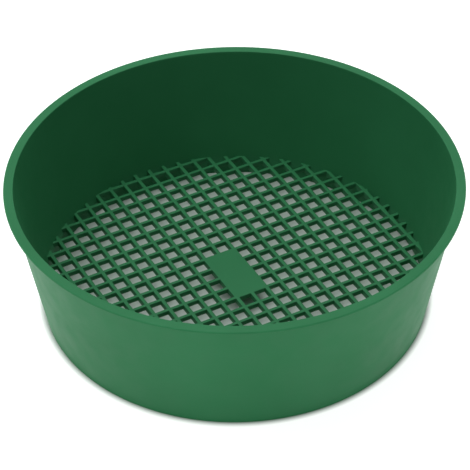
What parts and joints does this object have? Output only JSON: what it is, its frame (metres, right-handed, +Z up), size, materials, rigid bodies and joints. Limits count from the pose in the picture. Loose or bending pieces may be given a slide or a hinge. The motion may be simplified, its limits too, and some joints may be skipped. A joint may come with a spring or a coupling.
{
  "type": "soil sieve",
  "caption": "Round garden sieve with a tapered plain wall, a flat turned-out rim, a square mesh bottom with a bare centre plate, and a short foot skirt.",
  "frame": {"origin": "centre of the foot, on the floor", "axes": "+Z up along the sieve's axis, X along the cross mesh bars, Y along the long mesh bars and the centre plate's long side"},
  "size_m": [0.35, 0.35, 0.111],
  "materials": {
    "green_plastic": "satin injection-moulded green plastic"
  },
  "bodies": {
    "root": {"rim": "green_plastic", "side_wall": "green_plastic", "foot_skirt": "green_plastic", "long_mesh_bars": "green_plastic", "cross_mesh_bars": "green_plastic", "centre_plate": "green_plastic"}
  },
  "joints": []
}
